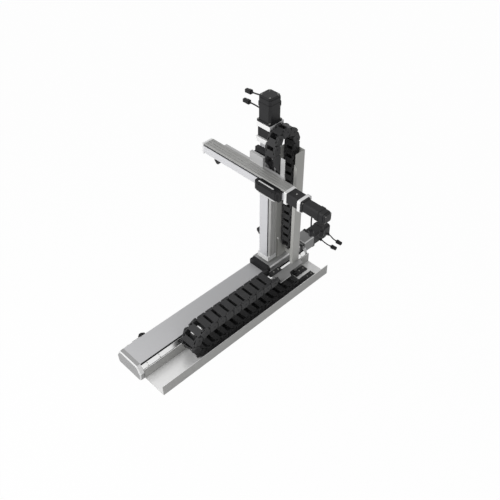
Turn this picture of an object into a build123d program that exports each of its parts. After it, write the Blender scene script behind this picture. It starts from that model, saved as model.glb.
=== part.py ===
from build123d import *
from dataclasses import dataclass
from math import cos, pi, radians, sin, tan
import os

# A three-axis linear positioner. X runs along the floor, Z stands on the X slider as a
# column, and Y is a beam that the Z slider carries. Each axis is a closed ball-screw
# actuator: a channel with a cover strip, and a slider whose two thin legs pass through
# the slots beside the strip. Two energy chains lie in sheet trays beside X and Z.
# Origin: middle of the X actuator's underside. +X to the X motor, +Y to the beam's tip.

# Driving dimensions, millimetres
X_LENGTH = 852.0            # X actuator over its end blocks
X_BLOCK = 18.0              # X end block thickness
X_SLIDER = (203.0, 404.0)   # X slider at its motor-end limit
X_CAP = 16.0                # end cap of the X slider
Z_PROFILE = (122.0, 628.0)  # column profile, lower and upper end
Z_BLOCKS = (20.0, 21.0)     # lower and upper end block thickness
Z_SLIDER = (512.0, 609.0)
Y_PROFILE = (-174.0, 214.0)
Y_BLOCKS = (12.0, 8.0)
Y_SLIDER = (-167.0, -59.0)
BIG_MOTOR = 60.0            # flange side of the X and Z motors
SMALL_MOTOR = 40.0
X_PITCH = 37.5              # pin to pin along the X chain
Z_PITCH = 35.6
CHAIN_HEIGHT = 28.0
BEND_LINKS = 4              # links in each chain's half-circle bend
SHEET = 2.0
RUNNING = 0.05              # radial clearance of a shaft that turns in a hole
SLIDE_GAP = 0.1             # between a guide block and its rail
LEAD = 4.0                  # motor lead diameter
BASE_BOLTS = (700.0, 110.0) # spacing of the tapped holes in the X actuator's underside
TOOL_BOLTS = (60.0, 24.0)   # spacing of the tapped holes in the Y slider's face


@dataclass
class Actuator:
    """Cross-section of one actuator: u across it, v up from its underside, d along it."""

    origin: tuple
    width_dir: tuple
    travel_dir: tuple
    half: float          # half width of the channel
    wall_top: float      # where the bevelled shoulder starts
    tip: tuple           # inner edge of the shoulder (u, v)
    floor: float
    cover: float         # half width of the cover strip
    height: float        # top of the cover strip
    leg: tuple           # inner and outer face of a slider leg
    screw_v: float       # height of the screw axis
    screw_r: float
    nut_r: float
    rails: tuple         # u of each guide rail
    rail: tuple          # rail width and top
    block: tuple         # guide block width, bottom, top and length
    web: tuple           # bottom and top of the plate between the legs
    boss: tuple          # half width and bottom of the nut housing
    grooves: tuple       # v of the grooves along both walls
    groove: tuple        # groove width and depth

    def at(self, d, u=0.0, v=0.0):
        """The section plane at distance d, with its origin moved to (u, v)."""
        base = Plane(origin=self.origin, x_dir=self.width_dir, z_dir=self.travel_dir)
        return Plane(origin=base.from_local_coords((u, v, d)), x_dir=self.width_dir,
                     z_dir=self.travel_dir)

    def screw(self, d):
        return self.at(d, v=self.screw_v)


x_unit = Actuator((0, 0, 0), (0, 1, 0), (1, 0, 0), half=61.75, wall_top=45.0,
                  tip=(50.0, 57.0), floor=12.0, cover=47.0, height=62.5, leg=(47.4, 49.4),
                  screw_v=41.0, screw_r=8.0, nut_r=14.0, rails=(-33.0, 33.0), rail=(15.0, 24.0),
                  block=(27.0, 14.0, 36.0, 50.0), web=(36.0, 52.0), boss=(18.0, 24.0),
                  grooves=(14.0, 31.0), groove=(5.0, 2.5))
z_unit = Actuator((270, 0, 0), (0, 1, 0), (0, 0, 1), half=27.5, wall_top=33.0,
                  tip=(21.4, 38.5), floor=7.0, cover=19.7, height=43.0, leg=(20.0, 21.2),
                  screw_v=20.0, screw_r=5.0, nut_r=7.5, rails=(-15.5, 15.5), rail=(7.0, 12.0),
                  block=(11.0, 8.0, 19.0, 30.0), web=(19.0, 32.0), boss=(9.5, 10.5),
                  grooves=(9.0, 24.0), groove=(3.0, 1.5))
y_unit = Actuator((188, 0, 542.85), (0, 0, -1), (0, 1, 0), half=20.15, wall_top=39.0,
                  tip=(16.4, 43.5), floor=7.0, cover=13.5, height=48.0, leg=(14.2, 15.8),
                  screw_v=28.0, screw_r=4.0, nut_r=6.5, rails=(0.0,), rail=(9.0, 13.0),
                  block=(19.0, 8.0, 19.5, 26.0), web=(19.5, 37.0), boss=(8.5, 19.5),
                  grooves=(9.0, 21.0, 33.0), groove=(2.4, 1.2))


def save(piece, node):
    piece.part.label = node
    export_step(piece.part, f"parts/{node}.step")


def channel(unit, start, end):
    """The open channel: floor, grooved walls, and bevelled shoulders that stop at the slots."""
    tip_u, tip_v = unit.tip
    lip = 1.2
    groove_width, groove_depth = unit.groove
    with BuildPart() as piece:
        with BuildSketch(unit.at(start)):
            with BuildLine():
                Polyline((0, 0), (unit.half, 0), (unit.half, unit.wall_top),
                         (tip_u + lip, tip_v), (tip_u, tip_v), (tip_u, unit.floor),
                         (0, unit.floor))
                mirror(about=Plane.YZ)
            make_face()
            for v in unit.grooves:
                with Locations(*[(side * (unit.half - groove_depth / 2), v) for side in (-1, 1)]):
                    Rectangle(groove_depth, groove_width, mode=Mode.SUBTRACT)
        extrude(amount=end - start)
    return piece


def cover_strip(unit, start, end):
    with BuildPart() as piece:
        with BuildSketch(unit.at(start, v=unit.height - SHEET / 2)):
            Rectangle(2 * unit.cover, SHEET)
        extrude(amount=end - start)
    return piece


def guide_rails(unit, start, end):
    width, top = unit.rail
    waist = 0.8
    with BuildPart() as piece:
        for u in unit.rails:
            with BuildSketch(unit.at(start, u, unit.floor)):
                with BuildLine():
                    Polyline((0, 0), (width / 2, 0), (width / 2, (top - unit.floor) / 2),
                             (width / 2 - waist, (top - unit.floor) * 0.7),
                             (width / 2, top - unit.floor), (0, top - unit.floor))
                    mirror(about=Plane.YZ)
                make_face()
            extrude(amount=end - start)
    return piece


def ball_screw(unit, start, end, coupling):
    """The screw from its far bearing to the motor, and the coupling sleeve clamped on its end."""
    coupling_start, coupling_length, coupling_r = coupling
    journal = unit.screw_r * 0.75
    with BuildPart() as piece:
        with BuildSketch(unit.screw(start)):
            Circle(unit.screw_r)
        extrude(amount=end - start)
        with BuildSketch(unit.screw(end)):
            Circle(journal)
        extrude(amount=coupling_start - end)
        with BuildSketch(unit.screw(coupling_start)):
            Circle(coupling_r)
        extrude(amount=coupling_length)
        chamfer(piece.edges().filter_by(GeomType.CIRCLE).group_by(SortBy.RADIUS)[-1], length=1)
    return piece


def nut_and_blocks(unit, centre, nut_length, spread):
    """The ball nut round the screw, and the guide blocks that ride the rails."""
    width, bottom, top, length = unit.block
    rail_width, rail_top = unit.rail
    with BuildPart() as piece:
        with BuildSketch(unit.screw(centre - nut_length / 2)):
            Circle(unit.nut_r)
            Circle(unit.screw_r + RUNNING, mode=Mode.SUBTRACT)
        extrude(amount=nut_length)
        for side in (-1, 1):
            middle = centre + side * spread / 2
            for u in unit.rails:
                with BuildSketch(unit.at(middle - length / 2, u)):
                    with Locations((0, (bottom + top) / 2)):
                        Rectangle(width, top - bottom)
                    with Locations((0, (bottom + rail_top) / 2)):
                        Rectangle(rail_width + 2 * SLIDE_GAP, rail_top - bottom + 2 * SLIDE_GAP,
                                  mode=Mode.SUBTRACT)
                extrude(amount=length)
    return piece


def carriage(unit, start, end, nut_length):
    """The plate inside the channel, with its nut housing and the two legs through the slots."""
    inner, outer = unit.leg
    web_low, web_top = unit.web
    boss_half, boss_low = unit.boss
    centre = (start + end) / 2
    with BuildPart() as piece:
        with BuildSketch(unit.at(start)):
            with BuildLine():
                Polyline((0, web_low), (outer, web_low), (outer, unit.height + 1.5),
                         (inner, unit.height + 1.5), (inner, web_top), (0, web_top))
                mirror(about=Plane.YZ)
            make_face()
        extrude(amount=end - start)
        with BuildSketch(unit.at(centre - nut_length / 2)):
            with Locations((0, (boss_low + web_top) / 2)):
                Rectangle(2 * boss_half, web_top - boss_low)
            with Locations((0, unit.screw_v)):
                Circle(boss_half)
        extrude(amount=nut_length)
        with BuildSketch(unit.screw(start)):
            Circle(unit.screw_r + 2)
        extrude(amount=end - start, mode=Mode.SUBTRACT)
        with BuildSketch(unit.screw(centre - nut_length / 2)):
            Circle(unit.nut_r)
        extrude(amount=nut_length, mode=Mode.SUBTRACT)
    return piece


def slider_table(unit, start, end, top, half):
    """The plate that carries the load, between the two end caps, with a shallow land on top."""
    bottom = unit.height + 1.5
    land = half * 0.72
    with BuildPart() as piece:
        with BuildSketch(unit.at(start)):
            with BuildLine():
                Polyline((0, bottom), (half, bottom), (half, top - 6), (half - 4, top - 1),
                         (land, top - 1), (land, top), (0, top))
                mirror(about=Plane.YZ)
            make_face()
        extrude(amount=end - start)
    return piece


def slider_ends(unit, slider, cap, top, half, seal_top):
    """Two end caps with bevelled outer edges, and the seal strip outside each leg."""
    bottom = unit.height + 0.6
    start, end = slider
    bevel = (top - bottom) * 0.33
    outer = unit.leg[1]
    tip_v = unit.tip[1]
    with BuildPart() as piece:
        for first, side in ((start, -1), (end - cap, 1)):
            with BuildSketch(unit.at(first)):
                with BuildLine():
                    Polyline((0, bottom), (half, bottom), (half, top - bevel),
                             (half - bevel, top), (0, top))
                    mirror(about=Plane.YZ)
                make_face()
            extrude(amount=cap)
            outward = piece.faces().sort_by(Axis((0, 0, 0), unit.travel_dir))
            face = outward[0] if side < 0 else outward[-1]
            chamfer(face.edges().sort_by(Axis(unit.at(0).origin, tuple(unit.at(0).y_dir)))[-1],
                    length=bevel, length2=cap * 0.4)
        for side in (-1, 1):
            with BuildSketch(unit.at(start + cap, side * (outer + 1.9), (tip_v + seal_top) / 2 + 0.3)):
                Rectangle(3.8, seal_top - tip_v - 0.6)
            extrude(amount=end - start - 2 * cap)
    return piece


def motor(unit, start, side, flange, length):
    """A servo motor: square flange, body with its long edges cut off, collar and rear cap."""
    body = side * 0.925
    cut = side * 0.11
    collar_at, collar, cap = length * 0.6, length * 0.14, length * 0.08
    with BuildPart() as piece:
        with BuildSketch(unit.screw(start)):
            RectangleRounded(side, side, 3)
        extrude(amount=flange)
        with BuildSketch(unit.screw(start + flange)):
            Rectangle(body, body)
            chamfer(vertices(), length=cut)
        extrude(amount=length - flange - cap)
        with BuildSketch(unit.screw(start + collar_at)):
            Rectangle(body + 2, body + 2)
            chamfer(vertices(), length=cut * 0.8)
        extrude(amount=collar)
        with BuildSketch(unit.screw(start + length - cap)):
            Rectangle(body - 3, body - 3)
            chamfer(vertices(), length=cut)
        extrude(amount=cap)
        chamfer(piece.faces().sort_by(Axis((0, 0, 0), unit.travel_dir))[-1].edges(), length=2)
    return piece


def bend_radius(pitch):
    """Pin circle of a bend whose links turn by equal angles through half a circle."""
    return pitch / (2 * sin(radians(90 / BEND_LINKS)))


def link(width, layer, pitch, gap=0.4):
    """One chain link, x along the chain, y across it, z away from the bend's centre.

    Each side plate is two layers: the inner one reaches back to one pin and the outer one
    reaches forward to the next, so that neighbours lap. Their ends are cut as half octagons
    round the pins, a little deeper on the outside. A wide bar closes the outside of the link
    and a narrow bar the inside.
    """
    radius = CHAIN_HEIGHT / 2
    corner = radius * tan(pi / 8)
    cut_back = 2.0
    neck = 2.4
    bar, outer_bar, inner_bar = 3.0, 30.0, 18.0
    pin = pitch / 2
    inner_y = width / 2 - 2 * layer - gap
    with BuildPart() as piece:
        for side in (-1, 1):
            for forward, y in ((1, width / 2), (-1, width / 2 - layer - gap)):
                near, flat = -forward * neck, forward * (pin + corner)
                far = forward * (pin + radius)
                with BuildSketch(Plane.XZ.offset(-side * y)):
                    with BuildLine():
                        Polyline((near, -radius), (flat, -radius), (far, -corner), (far, corner),
                                 (flat - forward * cut_back, radius), (near, radius), close=True)
                    make_face()
                extrude(amount=side * layer)
            with BuildSketch(Plane.XZ.offset(-side * (width / 2 - layer))):
                Rectangle(2 * neck, CHAIN_HEIGHT)
            extrude(amount=side * gap)
        for z, length in ((radius - bar, outer_bar), (-radius, inner_bar)):
            with BuildSketch(Plane.XY.offset(z)):
                Rectangle(length, 2 * inner_y - 2 * gap)
                with Locations(((neck - length / 2) / 2, 0)):
                    Rectangle(neck + length / 2, 2 * inner_y)
            extrude(amount=bar)
    return piece


def run_places(start, angle, pitch, count):
    """Places of links in a straight run: start is the first pin, angle the run's direction."""
    ahead = Vector(cos(radians(angle)), 0, -sin(radians(angle)))
    return [Location(tuple(start + ahead * pitch * (k + 0.5)), (0, angle, 0))
            for k in range(count)]


def bend_places(centre, pitch, first_angle):
    """Places of the bend links round the pin circle, each turned by half a right angle."""
    step = 180.0 / BEND_LINKS
    reach = bend_radius(pitch) * cos(radians(step / 2))
    places = []
    for k in range(BEND_LINKS):
        angle = first_angle + step * (k + 0.5)
        outward = Vector(sin(radians(angle)), 0, cos(radians(angle)))
        places.append(Location(tuple(centre + outward * reach), (0, angle, 0)))
    return places


def chain_run(one_link, places):
    with BuildPart() as piece:
        with Locations(*places):
            add(one_link.part)
    return piece


def end_bracket(width, layer, back, reach, foot, outside):
    """A chain's end piece: two cheeks that lap the last link, each with a foot to screw down.

    The cheeks lie outside the link's plates where the chain starts, and inside where it ends.
    Their free edge slopes from back, on the side away from the feet, to reach.
    """
    radius = CHAIN_HEIGHT / 2
    corner = 6.0
    foot_thick = 4.0
    gap = width * 0.12
    cheek = width / 2 if outside else width / 2 - layer - 0.4
    with BuildPart() as piece:
        for side in (-1, 1):
            with BuildSketch(Plane.XZ.offset(-side * cheek)):
                with BuildLine():
                    Polyline((-radius, corner - radius), (corner - radius, -radius), (reach, -radius),
                             (reach, foot_thick - radius), (back, radius), (corner - radius, radius),
                             (-radius, radius - corner), close=True)
                make_face()
            extrude(amount=side * layer)
            with BuildSketch(Plane.XY.offset(-radius)):
                with Locations(((back + reach + foot) / 2, side * (cheek + gap) / 2)):
                    Rectangle(reach + foot - back, cheek - gap)
            extrude(amount=foot_thick)
        with Locations(*[(reach + foot * share, side * (cheek + gap) / 2, foot_thick - radius)
                         for share in (0.3, 0.78) for side in (-1, 1)]):
            Hole(2.2, depth=foot_thick)
    return piece


def pointed_sensor(plane, width, height, depth):
    """The little switch body: a flat case that ends in a blunt point."""
    with BuildPart() as piece:
        with BuildSketch(plane):
            with BuildLine():
                Polyline((-width / 2, 0), (width / 2, 0), (width / 2, height * 0.35),
                         (width * 0.15, height), (-width * 0.15, height),
                         (-width / 2, height * 0.35), close=True)
            make_face()
        extrude(amount=depth)
    return piece


def lead(route):
    """A round lead: straight runs joined by arcs as large as the shorter run allows."""
    points = [Vector(*point) for point in route]
    radii = []
    for before, here, after in zip(points, points[1:], points[2:]):
        turn = radians((here - before).get_angle(after - here))
        shorter = min((here - before).length, (after - here).length)
        radii.append(0.45 * shorter / tan(turn / 2))
    with BuildPart() as piece:
        with BuildLine() as path:
            FilletPolyline(*route, radius=radii)
        with BuildSketch(Plane(origin=points[0], z_dir=points[1] - points[0])):
            Circle(LEAD / 2)
        sweep(path=path.wire())
    length = path.wire().length
    print("lead radii", [round(r, 1) for r in radii], "length", round(length, 1), "volume ratio",
          round(piece.part.volume / (pi * LEAD * LEAD / 4 * length), 4))
    return piece


def connectors(routes, size):
    """Moulded plugs on the motor leads: a body with bevelled edges and a narrower collar."""
    long, wide = size
    with BuildPart() as piece:
        for route in routes:
            plane = Plane(origin=route[-1], z_dir=Vector(*route[-1]) - Vector(*route[-2]))
            with BuildSketch(plane):
                Circle(LEAD * 0.9)
            extrude(amount=5)
            with BuildSketch(plane.offset(5)):
                Rectangle(wide, wide)
                chamfer(vertices(), length=wide * 0.18)
            extrude(amount=long - 5)
    return piece


os.makedirs("parts", exist_ok=True)

# X actuator
x_inner = X_LENGTH / 2 - X_BLOCK
x_channel = channel(x_unit, -x_inner, x_inner)
with BuildPart() as x_base_profile:
    add(x_channel.part)
    with BuildSketch(Plane.XY):
        with GridLocations(*BASE_BOLTS, 2, 2):
            Circle(3)
    extrude(amount=16, mode=Mode.SUBTRACT)
save(x_base_profile, "x_base_profile")
save(cover_strip(x_unit, -x_inner, x_inner), "x_cover_strip")
save(guide_rails(x_unit, -x_inner, x_inner), "x_guide_rails")

with BuildPart() as x_end_blocks:
    for start, flare in ((-X_LENGTH / 2, 65.5), (x_inner, 63.0)):
        with BuildSketch(x_unit.at(start)):
            with BuildLine():
                Polyline((0, 0), (x_unit.half, 0), (flare, 32), (47, x_unit.height),
                         (0, x_unit.height))
                mirror(about=Plane.YZ)
            make_face()
        extrude(amount=X_BLOCK)
    for face in (x_end_blocks.faces().sort_by(Axis.X)[0], x_end_blocks.faces().sort_by(Axis.X)[-1]):
        chamfer(face.edges().filter_by(lambda edge: edge.center().Z > 1), length=4)
    with BuildSketch(x_unit.screw(-X_LENGTH / 2 + 6)):
        Circle(x_unit.screw_r + RUNNING)
    extrude(amount=X_LENGTH, mode=Mode.SUBTRACT)
save(x_end_blocks, "x_end_blocks")

x_motor_at = 490.0
save(ball_screw(x_unit, -X_LENGTH / 2 + 7, X_LENGTH / 2 + 6, (440, 46, 15)), "x_ball_screw")

x_housing_at = 434.0
x_bore = 18.0
with BuildPart() as x_coupling_housing:
    with BuildSketch(x_unit.at(X_LENGTH / 2)):
        with Locations((0, x_unit.screw_v)):
            Rectangle(52, 42)
            Circle(x_bore, mode=Mode.SUBTRACT)
    extrude(amount=x_housing_at - X_LENGTH / 2)
    with BuildSketch(x_unit.at(x_housing_at)):
        with BuildLine():
            Polyline((0, 13), (26, 13), (32.5, 20), (32.5, 65), (28.5, 69), (0, 69))
            mirror(about=Plane.YZ)
        make_face()
        with Locations((0, x_unit.screw_v)):
            Circle(x_bore, mode=Mode.SUBTRACT)
    extrude(amount=x_motor_at - x_housing_at)
    front = x_coupling_housing.faces().filter_by(Axis.X).sort_by(Axis.X)[1]
    chamfer(front.edges().filter_by(Axis.Y).sort_by(Axis.Z)[-1], length=3)
save(x_coupling_housing, "x_coupling_housing")
save(motor(x_unit, x_motor_at, BIG_MOTOR, flange=10, length=110), "x_motor")

# X motor leads leave its -Y face near each end
x_lead_a = [(590, -27.75, 19), (590, -36.5, 19), (589.6, -47, 15.2), (588.8, -58, 10.4),
            (589.4, -69, 10)]
x_lead_b = [(542, -27.75, 19), (542, -37, 19), (543.4, -50, 14.6), (546, -63, 10.2),
            (548, -74, 9.8)]
save(lead(x_lead_a), "x_motor_lead_power")
save(lead(x_lead_b), "x_motor_lead_encoder")
save(connectors([x_lead_a, x_lead_b], (29, 15)), "x_lead_connectors")

# X limit sensor: a small plate on the +Y wall and the pointed switch body on it
with BuildPart() as x_limit_sensor:
    with BuildSketch(Plane.XZ.offset(-61.75)):
        with Locations((-337, 38)):
            Rectangle(48, 12)
    extrude(amount=-2)
    add(pointed_sensor(Plane(origin=(-318, 63.8, 32), x_dir=(1, 0, 0), z_dir=(0, 0, 1)),
                       28, 12, 12).part)
save(x_limit_sensor, "x_limit_sensor")

# X chain tray: a U of sheet beside the actuator
tray_start, tray_end = -407.0, 423.5
tray_in, tray_out, tray_leg = -63.4, -163.6, 44.5
with BuildPart() as x_chain_tray:
    with BuildSketch(Plane.YZ.offset(tray_start)):
        with BuildLine():
            Polyline((tray_in, 0), (tray_in, tray_leg), (tray_in - SHEET, tray_leg),
                     (tray_in - SHEET, SHEET), (tray_out + SHEET, SHEET),
                     (tray_out + SHEET, tray_leg), (tray_out, tray_leg), (tray_out, 0), close=True)
        make_face()
    extrude(amount=tray_end - tray_start)
save(x_chain_tray, "x_chain_tray")

# X chain: lower run in the tray, bend, upper run, and one link on the carriage
x_chain_y = -104.0
x_bend = Vector(-185, x_chain_y, 66.3)
x_radius = bend_radius(X_PITCH)
x_link_width, x_plate = 70.0, 5.0
x_link = link(x_link_width, x_plate, X_PITCH)
x_back, x_reach, x_foot = 20.0, 32.0, 48.0
x_lower_links, x_upper_links = 13, 9
x_lower_end = x_bend + Vector(x_lower_links * X_PITCH, 0, -x_radius)
x_upper_start = x_bend + Vector(0, 0, x_radius)
x_upper_end = x_upper_start + Vector(x_upper_links * X_PITCH, 0, 0)

with BuildPart() as x_chain_lower_run:
    with Locations(*run_places(x_lower_end, 180, X_PITCH, x_lower_links)):
        add(x_link.part)
    with Locations(Location(tuple(x_lower_end))):
        add(end_bracket(x_link_width, x_plate, x_back, x_reach, x_foot, outside=True).part)
save(x_chain_lower_run, "x_chain_lower_run")
save(chain_run(x_link, bend_places(x_bend, X_PITCH, -180)), "x_chain_bend_links")
save(chain_run(x_link, run_places(x_upper_start, 0, X_PITCH, x_upper_links - 1)), "x_chain_upper_run")

with BuildPart() as x_chain_moving_end:
    with Locations(run_places(x_upper_start, 0, X_PITCH, x_upper_links)[-1]):
        add(x_link.part)
    with Locations(Location(tuple(x_upper_end))):
        add(end_bracket(x_link_width, x_plate, x_back, x_reach, x_foot, outside=False).part)
save(x_chain_moving_end, "x_chain_moving_end")

# X slider
x_slider_top, x_slider_half = 94.0, 48.0
x_middle = sum(X_SLIDER) / 2
x_table = (X_SLIDER[0] + X_CAP, X_SLIDER[1] - X_CAP)
x_nut = 44.0
save(nut_and_blocks(x_unit, x_middle, x_nut, spread=110), "x_nut_and_guide_blocks")
save(carriage(x_unit, *x_table, x_nut), "x_carriage_plate")
save(slider_table(x_unit, *x_table, x_slider_top, x_slider_half), "x_slider_table")
save(slider_ends(x_unit, X_SLIDER, X_CAP, x_slider_top, x_slider_half, 62.5),
     "x_slider_end_caps")

# Sheet plate from the foot of the Z tray out under the moving chain end
chain_plate_top = x_upper_end.Z - CHAIN_HEIGHT / 2
chain_plate_thick = 4.0
with BuildPart() as x_chain_bracket:
    with BuildSketch(Plane.XY.offset(chain_plate_top - chain_plate_thick)):
        with BuildLine():
            Polyline((180, -139.5), (236, -139.5), (246, -122), (322, -122), (322, -92),
                     (234, -92), (234, -70), (180, -70), close=True)
        make_face()
    extrude(amount=chain_plate_thick)
save(x_chain_bracket, "x_chain_bracket")

# Column foot: base plate, upright behind the column, and two curved gussets
foot_top, foot_half, foot_thick = Z_PROFILE[0] - Z_BLOCKS[0], 27.5, 8.0
foot_start, foot_end = 235.0, 332.0
with BuildPart() as column_foot:
    with BuildSketch(Plane.XY.offset(x_slider_top)):
        with Locations(((foot_start + foot_end) / 2, 0)):
            Rectangle(foot_end - foot_start, 2 * foot_half)
    extrude(amount=foot_top - x_slider_top)
    with BuildSketch(Plane.YZ.offset(z_unit.origin[0])):
        with Locations((0, foot_top + 44)):
            Rectangle(2 * foot_half, 88)
    extrude(amount=foot_thick)
    for y in (-foot_half + 6, foot_half):
        with BuildSketch(Plane.XZ.offset(-y)):
            with BuildLine():
                Line((278, foot_top), (326, foot_top))
                Line((326, foot_top), (326, foot_top + 4))
                RadiusArc((326, foot_top + 4), (278, foot_top + 83), 130)
                Line((278, foot_top + 83), (278, foot_top))
            make_face()
        extrude(amount=6)
    with Locations(*[(x, y, foot_top) for x in (242, 318) for y in (-16, 16)]):
        CounterBoreHole(2.8, 5, 3, depth=foot_top - x_slider_top)
save(column_foot, "column_foot")

# Z actuator, a column whose cover faces -X
z_low = Z_PROFILE[0] - Z_BLOCKS[0]
z_high = Z_PROFILE[1] + Z_BLOCKS[1]
save(channel(z_unit, *Z_PROFILE), "z_base_profile")
save(cover_strip(z_unit, *Z_PROFILE), "z_cover_strip")
save(guide_rails(z_unit, *Z_PROFILE), "z_guide_rails")

with BuildPart() as z_end_blocks:
    with BuildSketch(z_unit.at(z_low)):
        with Locations((0, 22)):
            Rectangle(2 * z_unit.half, 44)
    extrude(amount=Z_BLOCKS[0])
    with BuildSketch(z_unit.at(Z_PROFILE[1])):
        with Locations((0, 25)):
            Rectangle(60, 50)
    extrude(amount=10)
    with BuildSketch(z_unit.at(Z_PROFILE[1] + 10)):
        with Locations((0, 27)):
            Rectangle(58, 54)
    extrude(amount=Z_BLOCKS[1] - 10)
    with BuildSketch(z_unit.screw(z_low + 6)):
        Circle(z_unit.screw_r + RUNNING)
    extrude(amount=z_high - z_low, mode=Mode.SUBTRACT)
save(z_end_blocks, "z_end_blocks")
save(ball_screw(z_unit, z_low + 7, z_high + 5, (656, 40, 11)), "z_ball_screw")

z_plate_at, z_motor_at = 686.0, 704.0
z_bore = 14.0
with BuildPart() as z_coupling_housing:
    with BuildSketch(z_unit.screw(z_high)):
        Rectangle(58, 55)
        chamfer(vertices(), length=3)
        Circle(z_bore, mode=Mode.SUBTRACT)
    extrude(amount=z_plate_at - z_high)
save(z_coupling_housing, "z_coupling_housing")

with BuildPart() as z_motor_plate:
    with BuildSketch(z_unit.screw(z_plate_at)):
        with Locations((0, -4)):
            RectangleRounded(BIG_MOTOR, BIG_MOTOR + 8, 2)
        Circle(z_bore, mode=Mode.SUBTRACT)
    extrude(amount=z_motor_at - z_plate_at)
    chamfer(z_motor_plate.faces().sort_by(Axis.Z)[-1].outer_wire().edges(), length=1)
save(z_motor_plate, "z_motor_plate")
save(motor(z_unit, z_motor_at, BIG_MOTOR, flange=8, length=97), "z_motor")

# Z motor leads leave its +Y face
z_lead_a = [(238, 27.75, 789), (238, 37, 789), (237.6, 51, 786.4), (238, 66, 784.6)]
z_lead_b = [(238, 27.75, 742.4), (238, 41, 742.4), (238.6, 57, 743.4), (238, 75, 743.2)]
save(lead(z_lead_a), "z_motor_lead_power")
save(lead(z_lead_b), "z_motor_lead_encoder")
save(connectors([z_lead_a, z_lead_b], (31, 15)), "z_lead_connectors")
save(pointed_sensor(Plane(origin=(248, z_unit.half, 216), x_dir=(0, 0, 1), z_dir=(-1, 0, 0)),
                    34, 18, 10), "z_limit_sensor")

# Z chain tray: a sheet channel open towards -X. Its inner leg is screwed to the column's side
# above the foot. The outer leg's lip stops below the chain's highest bend.
z_tray_in, z_tray_out, z_tray_back = -27.5, -100.0, 320.3
z_tray_leg_x, z_tray_lip_x, z_tray_front = 262.0, 284.7, 276.0
z_tray_leg_low, z_tray_lip_top, z_tray_top = 196.0, 552.0, 605.0
z_tray_lip, z_tray_tab = 14.0, 3.0
z_tray_tab_low = 470.0


def sheet_strip(x, y):
    """One straight strip of the tray's section, from its x range and its y range."""
    with Locations((sum(x) / 2, sum(y) / 2)):
        Rectangle(x[1] - x[0], y[1] - y[0])


with BuildPart() as z_chain_tray:
    with BuildSketch(Plane.XY.offset(chain_plate_top)):
        sheet_strip((z_tray_back - SHEET, z_tray_back), (z_tray_out, z_tray_in))
        sheet_strip((z_tray_lip_x, z_tray_back), (z_tray_out, z_tray_out + SHEET))
        sheet_strip((z_tray_lip_x, z_tray_lip_x + SHEET), (z_tray_out, z_tray_out + z_tray_lip))
    extrude(amount=z_tray_lip_top - chain_plate_top)
    with BuildSketch(Plane.XY.offset(z_tray_lip_top)):
        sheet_strip((z_tray_back - SHEET, z_tray_back), (z_tray_out, z_tray_in))
        sheet_strip((z_tray_front, z_tray_back), (z_tray_out, z_tray_out + SHEET))
    extrude(amount=z_tray_top - z_tray_lip_top)
    with BuildSketch(Plane.XY.offset(z_tray_leg_low)):
        sheet_strip((z_tray_leg_x, z_tray_back), (z_tray_in - SHEET, z_tray_in))
    extrude(amount=z_tray_top - z_tray_leg_low)
    with BuildSketch(Plane.XY.offset(z_tray_tab_low)):
        sheet_strip((z_tray_lip_x, z_tray_lip_x + SHEET), (z_tray_in - SHEET - z_tray_tab, z_tray_in))
    extrude(amount=z_tray_lip_top - z_tray_tab_low)
save(z_chain_tray, "z_chain_tray")

# Z chain: back run in the tray, bend over the top, front run down to the Z slider
z_chain_y = -55.5
z_bend = Vector(256.8, z_chain_y, 644)
z_radius = bend_radius(Z_PITCH)
z_link_width, z_plate = 45.0, 4.0
z_link = link(z_link_width, z_plate, Z_PITCH)
z_back_links, z_fixed_links = 13, 7
z_back_top = z_bend + Vector(z_radius, 0, 0)
z_back_low = z_back_top - Vector(0, 0, z_back_links * Z_PITCH)
z_front_end = z_bend - Vector(z_radius, 0, Z_PITCH)
z_foot = 18.0

with BuildPart() as z_chain_back_run:
    with Locations(*run_places(z_back_top, 90, Z_PITCH, z_back_links)[-z_fixed_links:]):
        add(z_link.part)
    with Locations(Location(tuple(z_back_low), (0, 90, 0))):
        add(mirror(end_bracket(z_link_width, z_plate, 20, 40, z_foot, outside=False).part,
                   about=Plane.XY, mode=Mode.PRIVATE))
save(z_chain_back_run, "z_chain_back_run")
save(chain_run(z_link, bend_places(z_bend, Z_PITCH, -90)), "z_chain_bend_links")
save(chain_run(z_link, run_places(z_back_top, 90, Z_PITCH, z_back_links - z_fixed_links)),
     "z_chain_upper_run")

with BuildPart() as z_chain_moving_end:
    with Locations(run_places(z_front_end, -90, Z_PITCH, 1)[0]):
        add(z_link.part)
    with Locations(Location(tuple(z_front_end), (0, 90, 0))):
        add(mirror(end_bracket(z_link_width, z_plate, 25, 60, z_foot, outside=True).part,
                   about=Plane.XY, mode=Mode.PRIVATE))
save(z_chain_moving_end, "z_chain_moving_end")

# Z slider and the adapter plate that carries the beam
z_slider_top, z_slider_half = 70.0, 28.5
z_cap = 15.0
z_middle = sum(Z_SLIDER) / 2
z_table = (Z_SLIDER[0] + z_cap, Z_SLIDER[1] - z_cap)
z_nut = 26.0
save(nut_and_blocks(z_unit, z_middle, z_nut, spread=38), "z_nut_and_guide_blocks")
save(carriage(z_unit, *z_table, z_nut), "z_carriage_plate")
save(slider_table(z_unit, *z_table, z_slider_top, z_slider_half), "z_slider_table")
save(slider_ends(z_unit, Z_SLIDER, z_cap, z_slider_top - 5, z_slider_half, 43.5),
     "z_slider_end_caps")

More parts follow.
